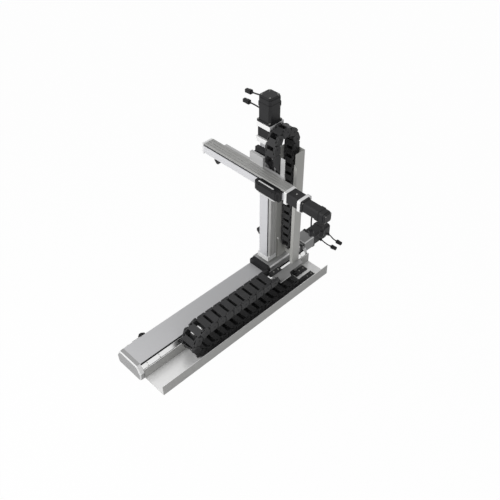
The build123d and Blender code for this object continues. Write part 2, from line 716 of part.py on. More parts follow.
# The adapter node also holds two sheet pieces: an angle on the slider's side that the chain's
# moving end is screwed to, and an upright tab behind the beam that cables are tied to
adapter_front, adapter_back = 188.0, 200.0
adapter_low, adapter_high = 524.0, 562.0
chain_plate_x = z_front_end.X + CHAIN_HEIGHT / 2
angle_thick = 4.0
tab_y, tab_wide, tab_high = -111.0, 18.0, 631.0
seat_gap = 0.05             # a film of paint between the tab and the adapter
with BuildPart() as adapter_plate:
    with BuildSketch(Plane.YZ.offset(adapter_front)):
        with BuildLine():
            Polyline((-124, adapter_low), (-124, adapter_high), (-32, adapter_high), (-32, 600),
                     (30, 600), (30, adapter_high), (158, adapter_high), (158, adapter_low),
                     (30, adapter_low), (30, 512), (-32, 512), (-32, adapter_low), close=True)
        make_face()
    extrude(amount=adapter_back - adapter_front)
    with BuildSketch(Plane.XY.offset(530)):
        with BuildLine():
            Polyline((chain_plate_x, -80), (chain_plate_x + angle_thick, -80),
                     (chain_plate_x + angle_thick, -z_slider_half - 0.5),
                     (chain_plate_x, -z_slider_half - 0.5), (chain_plate_x, -z_slider_half),
                     (208, -z_slider_half), (208, -z_slider_half - angle_thick),
                     (chain_plate_x, -z_slider_half - angle_thick), close=True)
        make_face()
    extrude(amount=56)
    with BuildSketch(Plane.YZ.offset(adapter_back + seat_gap)):
        with Locations((tab_y, (adapter_low + tab_high) / 2)):
            Rectangle(tab_wide, tab_high - adapter_low)
    extrude(amount=SHEET)
save(adapter_plate, "adapter_plate")

# Y actuator, the beam; its cover faces -X
y_low = Y_PROFILE[0] - Y_BLOCKS[0]
y_high = Y_PROFILE[1] + Y_BLOCKS[1]
save(channel(y_unit, *Y_PROFILE), "y_base_profile")
save(cover_strip(y_unit, *Y_PROFILE), "y_cover_strip")
save(guide_rails(y_unit, *Y_PROFILE), "y_guide_rail")

y_head_low = 516.0          # underside of the beam's motor-end block and motor plate
with BuildPart() as y_end_blocks:
    head_u = y_unit.origin[2] - y_head_low
    with BuildSketch(y_unit.at(y_low, (head_u - y_unit.half) / 2)):
        with Locations((0, y_unit.height / 2)):
            Rectangle(head_u + y_unit.half, y_unit.height)
            chamfer(vertices(), length=2)
    extrude(amount=Y_BLOCKS[0])
    with BuildSketch(y_unit.at(Y_PROFILE[1])):
        with Locations((0, y_unit.height / 2)):
            Rectangle(2 * y_unit.half, y_unit.height)
            chamfer(vertices(), length=1.5)
    extrude(amount=Y_BLOCKS[1])
    with BuildSketch(y_unit.screw(y_low)):
        Circle(y_unit.screw_r + RUNNING)
    extrude(amount=y_high - y_low - 3, mode=Mode.SUBTRACT)
    with BuildSketch(Plane.XZ.offset(-y_high)):
        with Locations(*[(x, z) for x in (148, 180) for z in (533, 553)]):
            Circle(2.2)
    extrude(amount=4, mode=Mode.SUBTRACT)
save(y_end_blocks, "y_end_blocks")

y_plate_at, y_motor_at = -234.0, -246.0
y_bore = 12.0
with BuildPart() as y_coupling_housing:
    with BuildSketch(y_unit.at(y_plate_at)):
        with Locations((0, 25)):
            Rectangle(2 * y_unit.half, 46)
            chamfer(vertices(), length=4)
        with Locations((0, y_unit.screw_v)):
            Circle(y_bore, mode=Mode.SUBTRACT)
    extrude(amount=y_low - y_plate_at)
save(y_coupling_housing, "y_coupling_housing")

with BuildPart() as y_motor_plate:
    with BuildSketch(y_unit.at(y_motor_at)):
        with Locations(((head_u - y_unit.half) / 2, 22)):
            RectangleRounded(head_u + y_unit.half, 56, 9)
        with Locations((0, y_unit.screw_v)):
            Circle(y_bore, mode=Mode.SUBTRACT)
    extrude(amount=y_plate_at - y_motor_at)
save(y_motor_plate, "y_motor_plate")

with BuildPart() as y_ball_screw:
    with BuildSketch(y_unit.screw(y_low - 4)):
        Circle(y_unit.screw_r)
    extrude(amount=y_high - y_low)
    with BuildSketch(y_unit.screw(-220)):
        Circle(3)
    extrude(amount=y_low - 4 + 220)
    with BuildSketch(y_unit.screw(-240)):
        Circle(9)
    extrude(amount=32)
save(y_ball_screw, "y_ball_screw")

with BuildPart() as y_motor:
    add(mirror(motor(y_unit, -y_motor_at, SMALL_MOTOR, flange=8, length=99).part,
               about=Plane.XZ, mode=Mode.PRIVATE))
save(y_motor, "y_motor")

# Y motor leads hang from its underside
y_lead_a = [(160, -280, 524.35), (160, -280, 512), (159.6, -279.4, 496), (160.2, -280, 478),
            (160, -280.6, 462)]
y_lead_b = [(163, -326, 524.35), (163, -326, 514), (163.6, -326.8, 499), (163, -325, 484)]
save(lead(y_lead_a), "y_motor_lead_power")
save(lead(y_lead_b), "y_motor_lead_encoder")
save(connectors([y_lead_a, y_lead_b], (28, 14)), "y_lead_connectors")
save(pointed_sensor(Plane(origin=(156, 151, 542.85 - y_unit.half), x_dir=(0, 1, 0),
                          z_dir=(-1, 0, 0)),
                    27, 16, 10), "y_limit_sensor")

# Y slider, black over its whole length
y_slider_top, y_slider_half = 70.0, 19.0
y_middle = sum(Y_SLIDER) / 2
y_cap = 12.0
y_table = (Y_SLIDER[0] + y_cap, Y_SLIDER[1] - y_cap)
y_nut = 24.0
save(nut_and_blocks(y_unit, y_middle, y_nut, spread=46), "y_nut_and_guide_blocks")
save(carriage(y_unit, *y_table, y_nut), "y_carriage_plate")
y_plain_table = slider_table(y_unit, *y_table, y_slider_top, y_slider_half)
y_face = y_unit.at(y_middle, v=y_slider_top).origin
with BuildPart() as y_slider_table:
    add(y_plain_table.part)
    with BuildSketch(Plane(origin=y_face, x_dir=(0, 1, 0), z_dir=(-1, 0, 0))):
        with GridLocations(*TOOL_BOLTS, 2, 2):
            Circle(2)
    extrude(amount=-12, mode=Mode.SUBTRACT)
save(y_slider_table, "y_slider_table")
save(slider_ends(y_unit, Y_SLIDER, y_cap, y_slider_top - 1, y_slider_half, 48.0),
     "y_slider_end_caps")
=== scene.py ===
# %% [markdown]
# # A three-axis linear positioner, dressed for its photograph
#
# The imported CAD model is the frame: its pieces are already in place and already carry the
# motion. This lesson adds what CAD leaves plain. It sets the camera, routes the motor leads,
# gives every piece a procedural finish, and builds the links, screws and trim that make the
# machine look made rather than drawn. Each step says first what the real thing is.

# %% Load the frame
import bpy
import numpy as np
from math import cos, pi, radians, sin, tan
from mathutils import Matrix, Vector


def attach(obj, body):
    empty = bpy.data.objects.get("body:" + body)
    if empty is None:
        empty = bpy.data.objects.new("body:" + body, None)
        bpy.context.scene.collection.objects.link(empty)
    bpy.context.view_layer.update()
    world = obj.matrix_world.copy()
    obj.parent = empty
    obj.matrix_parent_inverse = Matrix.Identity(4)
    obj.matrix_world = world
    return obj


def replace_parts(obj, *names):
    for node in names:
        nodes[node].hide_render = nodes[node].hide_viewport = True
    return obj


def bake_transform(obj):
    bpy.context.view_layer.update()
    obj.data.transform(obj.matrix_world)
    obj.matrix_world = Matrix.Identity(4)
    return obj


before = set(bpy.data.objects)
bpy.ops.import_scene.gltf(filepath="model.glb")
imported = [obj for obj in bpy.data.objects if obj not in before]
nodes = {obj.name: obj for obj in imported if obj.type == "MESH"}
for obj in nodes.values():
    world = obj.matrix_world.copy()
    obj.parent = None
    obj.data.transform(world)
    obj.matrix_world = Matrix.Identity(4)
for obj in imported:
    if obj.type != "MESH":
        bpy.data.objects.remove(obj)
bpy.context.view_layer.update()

# %% [markdown]
# ## The camera
#
# The photograph looks down on the machine from its near left corner. The heading, the pitch
# and the distance were solved from the machine's own straight edges, so the camera is written
# as those two angles and a position, and a matrix is made from its right, up and back
# directions. A look-at constraint would hide the roll, which is zero here.

# %% Camera
camera_place = Vector((-1.1316, -1.3263, 1.8750))
heading, pitch = radians(45.29), radians(42.30)
forward = Vector((cos(pitch) * cos(heading), cos(pitch) * sin(heading), -sin(pitch)))
rightward = Vector((sin(heading), -cos(heading), 0))
upward = rightward.cross(forward)

camera_data = bpy.data.cameras.new("camera")
camera_data.lens = 48.45
camera_data.sensor_width = 36
camera_data.shift_x = -0.0092
camera_data.shift_y = -0.0012
camera = bpy.data.objects.new("camera", camera_data)
camera.matrix_world = Matrix((
    (rightward.x, upward.x, -forward.x, camera_place.x),
    (rightward.y, upward.y, -forward.y, camera_place.y),
    (rightward.z, upward.z, -forward.z, camera_place.z),
    (0, 0, 0, 1)))
bpy.context.scene.collection.objects.link(camera)
bpy.context.scene.camera = camera
bpy.context.scene.view_settings.view_transform = "Standard"
print("camera height", round(camera_place.z, 3), "m")

# %% [markdown]
# ## Shader maths as arithmetic
#
# A procedural finish is a small sum of patterns. Wired by hand it is a page of Math nodes, so
# one class wraps a socket and gives it the usual operators, and another holds a material and
# adds any other node from its type, its settings and its inputs. Colours never pass through
# Math nodes, which would turn them grey: they are blended by a Mix node.


# %% Signal: a socket that adds, multiplies and compares
class Signal:
    """A value socket of a shader. Each operator adds one Math node."""

    def __init__(self, finish, socket):
        self.finish = finish
        self.socket = socket

    def math(self, operation, first, second=0.0):
        return self.finish.add("ShaderNodeMath", {"operation": operation}, {0: first, 1: second})

    def __add__(self, other):
        return self.math("ADD", self, other)

    def __radd__(self, other):
        return self.math("ADD", other, self)

    def __sub__(self, other):
        return self.math("SUBTRACT", self, other)

    def __rsub__(self, other):
        return self.math("SUBTRACT", other, self)

    def __mul__(self, other):
        return self.math("MULTIPLY", self, other)

    def __rmul__(self, other):
        return self.math("MULTIPLY", other, self)

    def __abs__(self):
        return self.math("ABSOLUTE", self)


# %% Finish: a material and the one method that adds nodes
class Finish:
    """A material whose Principled shader takes plain numbers or signals."""

    def __init__(self, name, colour, roughness, metallic=0.0, **plain):
        self.material = bpy.data.materials.new(name)
        self.material.use_nodes = True
        self.tree = self.material.node_tree
        self.shader = self.tree.nodes["Principled BSDF"]
        self.shader.inputs["Base Color"].default_value = (*colour, 1)
        self.shader.inputs["Roughness"].default_value = roughness
        self.shader.inputs["Metallic"].default_value = metallic
        for socket, number in plain.items():
            self.shader.inputs[socket.replace("_", " ")].default_value = number

    def add(self, kind, settings=None, inputs=None, out=0):
        """One node: settings are its properties, inputs its sockets by name or index."""
        node = self.tree.nodes.new(kind)
        for name, value in (settings or {}).items():
            setattr(node, name, value)
        for name, value in (inputs or {}).items():
            if isinstance(value, Signal):
                self.tree.links.new(value.socket, node.inputs[name])
            else:
                node.inputs[name].default_value = value
        return Signal(self, node.outputs[out])

    def place(self, scale=(1, 1, 1)):
        """Object coordinates in metres, stretched by scale."""
        coordinates = self.add("ShaderNodeTexCoord", out="Object")
        return self.add("ShaderNodeMapping", None, {"Vector": coordinates, "Scale": scale})

    def noise(self, vector, scale, detail):
        """Cloudy noise between 0 and 1, about 0.5 on average."""
        return self.add("ShaderNodeTexNoise", None,
                        {"Vector": vector, "Scale": scale, "Detail": detail})

    def blend(self, factor, first, second):
        """A colour that goes from first to second as the factor goes from 0 to 1."""
        return self.add("ShaderNodeMix", {"data_type": "RGBA"},
                        {0: factor, 6: first, 7: second}, out=2)

    def soft_edge(self, radius, gain=3.5):
        """The normal as if every edge were rounded, and how far it leans from the true one.

        The lean is one minus the dot product of the two, times a gain, held between 0 and 1.
        """
        rounded = self.add("ShaderNodeBevel", {"samples": 6}, {"Radius": radius})
        true = self.add("ShaderNodeNewGeometry", out="Normal")
        along = self.add("ShaderNodeVectorMath", {"operation": "DOT_PRODUCT"},
                         {0: rounded, 1: true}, out="Value")
        return rounded, self.clip((1.0 - along) * gain)

    def clip(self, signal):
        """A signal held between 0 and 1."""
        return self.add("ShaderNodeClamp", None, {"Value": signal})

    def outward(self):
        """The three parts of the surface's own normal, in the machine's frame."""
        normal = self.add("ShaderNodeNewGeometry", out="True Normal")
        split = self.add("ShaderNodeSeparateXYZ", None, {"Vector": normal})
        return [Signal(self, split.socket.node.outputs[part]) for part in "XYZ"]

    def paint(self, socket, signal):
        """Feeds a signal to one socket of the Principled shader."""
        self.tree.links.new(signal.socket, self.shader.inputs[socket])

    def bump(self, height, strength, distance, normal):
        """A Bump node on top of a normal, into the shader's Normal."""
        bumped = self.add("ShaderNodeBump", None, {"Height": height, "Strength": strength,
                                                   "Distance": distance, "Normal": normal})
        self.paint("Normal", bumped)


print("shader classes ready")

# %% [markdown]
# ## Metal finishes
#
# The extrusions are anodised aluminium: die lines run along the bar, so the noise is squeezed
# across it and stretched along it. The strips and trays are rolled sheet, with a finer grain and
# a few broad smears. The machined blocks have no direction at all. All share one recipe, each
# with its own direction and strength. A Bevel node gives the edges a small round, and its lean
# from the true normal lightens them: partly rubbed anodising, partly a painted highlight. The
# recipe also paints a highlight on chamfers and paints light on faces that look up.


# %% Metal recipe
def shades(colour, spread):
    """A darker and a lighter version of a colour, as four numbers each."""
    dark = (*(part * (1 - spread) for part in colour), 1)
    light = (*(min(1.0, part * (1 + spread)) for part in colour), 1)
    return dark, light


metal_round = 0.0007
grain_gain, contrast, tilt_gain = 2.2, 3.0, 6.0
# The pale colour that rubbed anodising and painted light blend towards, and how far.
wear_and_light_brightness, wear_and_light_share = 0.9, 0.75
edge_wear_and_highlight, edge_shine = 0.35, 0.06
face_shine, cut_shine, grain_roughness = 0.16, 0.6, 1.1


def metal(name, colour, roughness, grain, metallic=0.2, lines=0.05, smear=0.06, polish=0.0,
          painted_top_light=0.0, cut=0.0):
    """Brushed metal: stretched noise is the grain, broad noise the smear, and edges are lighter.

    The lighter edges are partly rubbed anodising and partly a painted highlight. polish makes faces
    that look up more metallic and smoother, and the weight after it paints light on them as a
    brighter colour. cut paints a highlight on faces that lie along none of the three directions, as
    on chamfers: such a face's normal has no part near 1, so one minus its longest part, times a
    gain, picks it out.
    """
    finish = Finish(name, colour, roughness, metallic)
    normal, edge = finish.soft_edge(metal_round)
    fine = finish.noise(finish.place(grain), scale=1.0, detail=3.0)
    broad = finish.noise(finish.place(), scale=7.0, detail=3.0)
    shade = (fine - 0.5) * (grain_gain * lines) + (broad - 0.5) * smear
    dark, light = shades(colour, lines + smear)
    # A paler colour for rubbed edges and for painted light and highlights.
    wear_and_light_colour = (*(part + wear_and_light_share * (wear_and_light_brightness - part) for part in colour), 1)
    x, y, z = finish.outward()
    up = finish.clip(z)
    longest = finish.add("ShaderNodeMath", {"operation": "MAXIMUM"},
                         {0: abs(x), 1: finish.add("ShaderNodeMath", {"operation": "MAXIMUM"},
                                                   {0: abs(y), 1: abs(z)})})
    tilted = finish.clip((1.0 - longest) * tilt_gain)
    body = finish.blend(finish.clip(shade * contrast + 0.5), dark, light)
    # Painted light in the colour: lighter edges, partly rubbed anodising and partly a painted
    # highlight, a painted highlight on chamfers, and painted light on faces that look up.
    wear_and_painted_light = finish.clip(edge * edge_wear_and_highlight + tilted * cut + up * painted_top_light)
    finish.paint("Base Color", finish.blend(wear_and_painted_light, body, wear_and_light_colour))
    finish.paint("Metallic",
                 finish.clip(up * polish + tilted * (cut_shine * cut * polish) + metallic))
    finish.paint("Roughness", shade * grain_roughness + roughness - edge * edge_shine
                 - up * (face_shine * polish))
    finish.bump(fine, strength=0.02, distance=0.0002, normal=normal)
    return finish.material


along_x, along_y, along_z = (6, 900, 900), (900, 6, 900), (900, 900, 6)
no_grain = (420, 420, 420)
wall_grey, strip_grey = (0.36, 0.36, 0.35), (0.64, 0.64, 0.66)
# Painted light: the upward faces of the X profile and the X tray are painted brighter, and the X
# profile's slanted shoulders get a painted highlight.
x_wall = metal("anodised_along_x", wall_grey, 0.30, along_x, metallic=0.15, lines=0.015,
               smear=0.03, polish=0.8, painted_top_light=0.35, cut=0.75)
y_wall = metal("anodised_along_y", wall_grey, 0.36, along_y, metallic=0.25, lines=0.09)
z_wall = metal("anodised_along_z", (0.50, 0.50, 0.49), 0.40, along_z, metallic=0.15)
x_strip = metal("cover_strip_along_x", (0.46, 0.46, 0.47), 0.42, along_x, metallic=0.02,
                lines=0.02, smear=0.03)
y_strip = metal("cover_strip_along_y", strip_grey, 0.34, along_y, metallic=0.35, lines=0.03,
                smear=0.05)
z_strip = metal("cover_strip_along_z", strip_grey, 0.34, along_z, metallic=0.35, lines=0.03,
                smear=0.05)
x_sheet = metal("sheet_along_x", (0.38, 0.38, 0.37), 0.40, along_x, metallic=0.12, lines=0.02,
                smear=0.04, polish=0.35, painted_top_light=1.0)
z_sheet = metal("sheet_along_z", (0.45, 0.45, 0.43), 0.38, along_z, metallic=0.12, lines=0.03,
                smear=0.05)
# Painted highlight: the chamfers of the machined blocks, the milled housing and the silver plate
# are painted bright.
machined = metal("machined_block", (0.30, 0.30, 0.30), 0.36, no_grain, metallic=0.25, cut=0.9)
housing_metal = metal("milled_housing", (0.24, 0.24, 0.24), 0.36, no_grain, metallic=0.25, cut=0.9)
foot_metal = metal("cast_foot", (0.30, 0.30, 0.28), 0.42, no_grain, lines=0.08)
silver = metal("silver_plate", (0.52, 0.52, 0.52), 0.34, no_grain, lines=0.02, smear=0.03, cut=0.6)
bright = metal("bright_plate", (0.84, 0.84, 0.84), 0.34, no_grain, metallic=0.15, lines=0.02,
               smear=0.03)
ground = metal("ground_steel", (0.50, 0.51, 0.53), 0.22, along_x, metallic=0.9, lines=0.03)
zinc = metal("zinc_screw", (0.40, 0.40, 0.38), 0.30, no_grain, metallic=0.5, lines=0.04)
print("metals ready")

# %% [markdown]
# ## Black finishes
#
# Motors are painted, with a faint orange peel. Caps, chain links and plugs are moulded
# polyamide with glass fibre, which scatters more and shows a dry, fine grain. Dark plastic
# would pick up a grey veil from a white studio, so its specular level is set below the default.


# %% Black recipe
black_round, black_specular = 0.0006, 0.2
black_spread, black_wear, black_edge = 0.28, 0.012, 0.7
fine_share, broad_share, fine_roughness = 0.6, 0.8, 0.18


def black(name, colour, roughness, grain, peel):
    """Dark plastic or paint: fine noise roughens it, broad noise shifts its shade.

    grain is the fine noise's scale and peel the strength of its bump.
    """
    finish = Finish(name, colour, roughness, Specular_IOR_Level=black_specular)
    normal, edge = finish.soft_edge(black_round)
    fine = finish.noise(finish.place(), scale=grain, detail=2.0)
    broad = finish.noise(finish.place(), scale=14.0, detail=2.0)
    shade = finish.clip((fine - 0.5) * fine_share + (broad - 0.5) * broad_share + 0.5)
    dark, light = shades(colour, black_spread)
    rubbed = (*(part + black_wear for part in colour), 1)
    body = finish.blend(shade, dark, light)
    finish.paint("Base Color", finish.blend(edge * black_edge, body, rubbed))
    finish.paint("Roughness", (fine - 0.5) * fine_roughness + roughness)
    finish.bump(fine, strength=peel, distance=0.0003, normal=normal)
    return finish.material


motor_paint = black("motor_paint", (0.015, 0.015, 0.016), 0.42, 500, 0.12)
cap_plastic = black("cap_plastic", (0.007, 0.007, 0.008), 0.38, 1100, 0.10)
chain_plastic = black("chain_plastic", (0.034, 0.034, 0.035), 0.50, 1300, 0.12)
plug_plastic = black("plug_plastic", (0.009, 0.009, 0.010), 0.45, 1100, 0.10)
jacket = black("lead_jacket", (0.010, 0.010, 0.010), 0.50, 900, 0.08)
print("blacks ready")

# %% [markdown]
# ## Dressing the CAD nodes
#
# A CAD node already has the right shape, so it only needs its finish. The names say what each
# piece is made of: anything of the chains is polyamide, leads and plugs are soft black, and
# what no rule names is a ground steel part inside the housings.

# %% Finishes for the CAD nodes
finishes = {
    "x_base_profile": x_wall, "y_base_profile": y_wall, "z_base_profile": z_wall,
    "x_cover_strip": x_strip, "y_cover_strip": y_strip, "z_cover_strip": z_strip,
    "x_chain_tray": x_sheet, "z_chain_tray": z_sheet, "x_chain_bracket": machined,
    "x_end_blocks": machined, "y_end_blocks": bright, "z_end_blocks": bright,
    "x_coupling_housing": housing_metal, "column_foot": foot_metal, "adapter_plate": silver,
    "x_slider_table": machined, "z_slider_table": machined, "y_slider_table": cap_plastic,
    "x_carriage_plate": machined, "z_carriage_plate": machined, "y_carriage_plate": machined,
    "z_motor_plate": bright, "y_motor_plate": bright,
    "z_coupling_housing": motor_paint, "y_coupling_housing": motor_paint,
    "x_motor": motor_paint, "y_motor": motor_paint, "z_motor": motor_paint,
}
for name, node in nodes.items():
    if "chain" in name and name not in finishes:
        finishes[name] = chain_plastic
    elif "lead" in name or "connector" in name:
        finishes[name] = plug_plastic
    elif "end_caps" in name or "sensor" in name:
        finishes[name] = cap_plastic
    node.data.materials.clear()
    node.data.materials.append(finishes.get(name, ground))
print("finished nodes:", len(nodes))

# %% [markdown]
# ## Shapes worked out on grids
#
# Every new piece here is a surface of two parameters: one runs along a profile, the other round
# an outline or an axis, and numpy works out the whole grid at once. Two makers cover this
# machine. A profile turned round an axis gives screw heads and boots, and an outline copied at
# several heights, a little smaller at the rims, gives every moulded plate its soft edge. A
# Bevel modifier could do the latter, but a formula keeps the count of faces small and even.


# %% Grids and plates
def grid_faces(rows, columns):
    """Quads between neighbours on a grid whose columns close on themselves."""
    k = np.arange(rows - 1)[:, None] * columns
    j = np.arange(columns)[None, :]
    after = (j + 1) % columns
    quads = np.stack([k + j, k + after, k + columns + after, k + columns + j], axis=-1)
    return quads.reshape(-1, 4).tolist()


def stack(outline, levels):
    """A closed plate: each level is an (inset, height) copy of an anticlockwise outline.

    A corner moves inwards along the sum of its two edges' inward normals, divided by one plus
    their dot product, which keeps every edge parallel to itself.
    """
    ahead = np.roll(outline, -1, axis=0) - outline
    ahead = ahead / np.linalg.norm(ahead, axis=1)[:, None]
    inward = np.stack([-ahead[:, 1], ahead[:, 0]], axis=1)
    before = np.roll(inward, 1, axis=0)
    mitre = (inward + before) / (1 + (inward * before).sum(axis=1))[:, None]
    inset, height = np.array(levels, float).T
    flat = outline[None] + mitre[None] * inset[:, None, None]
    tall = np.broadcast_to(height[:, None, None], flat.shape[:2] + (1,))
    count, last = len(outline), len(outline) * (len(levels) - 1)
    caps = [list(range(count))[::-1], list(range(last, last + count))]
    points = np.concatenate([flat, tall], axis=-1).reshape(-1, 3)
    return points, grid_faces(len(levels), count) + caps


def plate(outline, low, high, edge):
    """A plate from low to high whose two rims are quarter rounds of radius edge."""
    bend = np.linspace(0, pi / 2, 4)
    inset, rise = edge * (1 - np.sin(bend)), edge * (1 - np.cos(bend))
    levels = [*zip(inset, low + rise), *zip(inset[::-1], high - rise[::-1])]
    return stack(np.array(outline, float), levels)


def rectangle(x0, x1, y0, y1):
    """The four corners between two ranges, anticlockwise."""
    return [(x0, y0), (x1, y0), (x1, y1), (x0, y1)]


def cut_square(side, cut):
    """A square with its corners cut off, anticlockwise."""
    half = side / 2
    flat = half - cut
    return [(-flat, -half), (flat, -half), (half, -flat), (half, flat),
            (flat, half), (-flat, half), (-half, flat), (-half, -flat)]


# %% Turned shapes
def turned(profile, steps):
    """A profile of (radius, height) turned round the height axis, from axis to axis.

    Where the third number of a profile point is 1, its ring is a hexagon: the radius is divided
    by the cosine of the angle from the nearest flat, as for a socket's six sides.
    """
    angle = np.arange(steps) / steps * 2 * pi
    radius, height, six = np.array([(*point, 0)[:3] for point in profile[1:-1]], float).T
    flat = (angle + pi / 6) % (pi / 3) - pi / 6
    reach = radius[:, None] * (1 + six[:, None] * (1 / np.cos(flat) - 1))
    rings = np.stack([reach * np.cos(angle), reach * np.sin(angle),
                      np.repeat(height[:, None], steps, axis=1)], axis=-1).reshape(-1, 3)
    ends = [[0, 0, profile[0][1]], [0, 0, profile[-1][1]]]
    j = np.arange(steps)
    after = (j + 1) % steps
    last, first_pole = (len(radius) - 1) * steps, len(rings)
    start = np.stack([np.full(steps, first_pole), after, j], axis=1).tolist()
    end = np.stack([np.full(steps, first_pole + 1), last + j, last + after], axis=1).tolist()
    return np.concatenate([rings, ends]), grid_faces(len(radius), steps) + start + end


def screw_head(radius, height):
    """A cap screw's head: a short drum with a chamfered rim and a hexagonal socket."""
    rim, socket, floor = 0.12 * radius, 0.5 * radius, 0.25 * height
    sink, lip = 0.3, 0.3
    return turned([(0, -sink), (radius, -sink), (radius, height - rim), (radius - rim, height),
                   (socket * 1.12, height), (socket, height - lip, 1), (socket, floor, 1),
                   (0, floor)], 24)


print("faces in a screw head:", len(screw_head(3, 2)[1]))


# %% Placing shapes
def turn_about(axis, angle):
    """The matrix that turns points about X, Y or Z by an angle in degrees."""
    return np.array(Matrix.Rotation(radians(angle), 3, axis))


def facing(direction):
    """The matrix that turns a shape's height axis towards a direction."""
    return np.array(Vector(direction).to_track_quat("Z", "Y").to_matrix())


def moved(shape, shift=(0, 0, 0), turn=None, scale=1.0):
    """A shape scaled and turned about its own origin, then shifted."""
    points, faces = shape
    points = points * scale
    if turn is not None:
        points = points @ turn.T
    return points + np.array(shift, float), faces


def joined(shapes):
    """Several shapes as one, each keeping its own points."""
    shapes = list(shapes)
    firsts = np.cumsum([0] + [len(points) for points, faces in shapes])
    faces = [[corner + int(first) for corner in face]
             for first, shape in zip(firsts, shapes) for face in shape[1]]
    return np.concatenate([points for points, faces in shapes]), faces


def piece(name, shape, material, body=None, smooth=False):
    """Puts a shape, in millimetres, into a mesh in metres. It rides on a body if one is given."""
    points, faces = shape
    mesh = bpy.data.meshes.new(name)
    mesh.from_pydata((points / 1000).tolist(), [], faces)
    mesh.polygons.foreach_set("use_smooth", [smooth] * len(mesh.polygons))
    mesh.materials.append(material)
    item = bpy.data.objects.new(name, mesh)
    bpy.context.scene.collection.objects.link(item)
    if body is not None:
        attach(item, body)
    return item


print("placing tools ready")

# %% [markdown]
# ## One energy chain link
#
# A real link is a moulded frame: two side plates, each stepped in two layers so that the outer
# half laps its neighbour's inner half round a pin, a wide snap-on bar over the outside of the
# bend and a narrower one inside. The plates end in half octagons, so a link can turn by its stop
# angle and no further. One link is modelled here, plate by plate, and copies of its points are
# placed along each run. Its coordinates are x along the chain, y across it and z away from the
# bend's centre.

# %% Link
chain_height = 28.0
chain_radius = chain_height / 2
chain_neck = 2.9
layer_gap = 0.4
chain_edge = 0.5
x_pitch, z_pitch = 37.5, 35.6
x_layer, z_layer = 5.0, 4.0
x_chain_width, z_chain_width = 70.0, 45.0


def half_octagon(pitch, ahead, outer_cut):
    """A side plate's outline: square at the middle, cut corners round its pin.

    The corner inside the bend is a regular octagon's, so that it clears the next plate when the
    link turns. The corner outside keeps more, given as how far its cut runs along and down.
    """
    corner = chain_radius * tan(pi / 8)
    along, down = outer_cut
    flat, far = pitch / 2 + corner, pitch / 2 + chain_radius
    outline = [(-chain_neck, -chain_radius), (flat, -chain_radius), (far, -corner),
               (far, chain_radius - down), (far - along, chain_radius), (-chain_neck, chain_radius)]
    return outline if ahead > 0 else [(-x, z) for x, z in outline][::-1]


def upright(shape, outer_y, side, thick):
    """Stands a plate drawn in x and z up, its outer face at outer_y on one side of the chain."""
    face = outer_y if side > 0 else thick - outer_y
    return moved(shape, (0, face, 0), turn_about("X", 90))


def chain_link(width, layer, pitch, outer_cut):
    """One link: two stepped side plates, pin bosses, a wide outer bar and a narrow inner bar.

    A web fills the gap between a side plate's two layers, and a socket inside each plate holds
    the bars' ends. Each of them laps its neighbour by a few tenths, so that no seam shows.
    """
    half, inner_y = width / 2, width / 2 - 2 * layer - layer_gap
    bar, outer_bar, inner_bar, bar_lap = 3.0, 26.5, 22.5, 0.5
    web_inset, web_lap, web_edge = 1.0, 0.2, 0.1
    web_thick = layer_gap + 2 * web_lap
    socket, socket_thick, socket_lap, socket_edge = 20.0, 3.0, 0.3, 0.4
    boss_lap = 0.05
    boss = turned([(0, -0.2), (4.4, -0.2), (4.4, 0.15), (3.9, 0.35), (2.6, 0.35), (2.3, 0.05),
                   (0, 0.05)], 16)
    shapes = []
    for side in (-1, 1):
        for ahead, outer_y in ((1, half), (-1, half - layer - layer_gap)):
            side_plate = plate(half_octagon(pitch, ahead, outer_cut), 0, layer, chain_edge)
            shapes.append(upright(side_plate, outer_y, side, layer))
        web = plate(rectangle(-chain_neck, chain_neck,
                              -chain_radius + web_inset, chain_radius - web_inset),
                    0, web_thick, web_edge)
        shapes.append(upright(web, half - layer + web_lap, side, web_thick))
        shapes.append(moved(boss, (pitch / 2, side * (half - boss_lap), 0),
                            turn_about("X", -90 * side)))
        hold = plate(rectangle(-socket / 2, socket / 2, -chain_radius + 0.8, chain_radius - 0.5),
                     0, socket_thick, socket_edge)
        shapes.append(upright(hold, inner_y + socket_lap, side, socket_thick))
    for low, long in ((chain_radius - bar, outer_bar), (-chain_radius, inner_bar)):
        outline = rectangle(-long / 2, long / 2, -inner_y - bar_lap, inner_y + bar_lap)
        shapes.append(plate(outline, low, low + bar, chain_edge))
    return joined(shapes)


x_link = chain_link(x_chain_width, x_layer, x_pitch, (4.0, 4.0))
z_link = chain_link(z_chain_width, z_layer, z_pitch, (9.5, 6.0))
print("faces in a link:", len(x_link[1]))

# %% [markdown]
# ## Chain end pieces
#
# At each end of a chain the last link is lapped by two cheeks, and each cheek stands on a foot
# that is screwed down. The cheek's free edge slopes down to the foot, which is what shows as
# small fins beside the slider. The same plates and screw heads make them, and one table holds
# the measures of all four. The screws are made apart because they are zinc and not plastic.


# %% End piece
foot_top = 4.0 - chain_radius
foot_gap_share = 0.12
foot_screw_radius = 2.6
chain_ends = {
    "x_fixed": dict(width=x_chain_width, layer=x_layer, cheek=x_chain_width / 2,
                    back=20, reach=32, foot=48),
    "x_moving": dict(width=x_chain_width, layer=x_layer,
                     cheek=x_chain_width / 2 - x_layer - layer_gap,
                     back=20, reach=32, foot=48, feet=(1,)),
    "z_fixed": dict(width=z_chain_width, layer=z_layer,
                    cheek=z_chain_width / 2 - z_layer - layer_gap, back=20, reach=40, foot=18),
    "z_moving": dict(width=z_chain_width, layer=z_layer, cheek=z_chain_width / 2,
                     back=25, reach=60, foot=18),
}


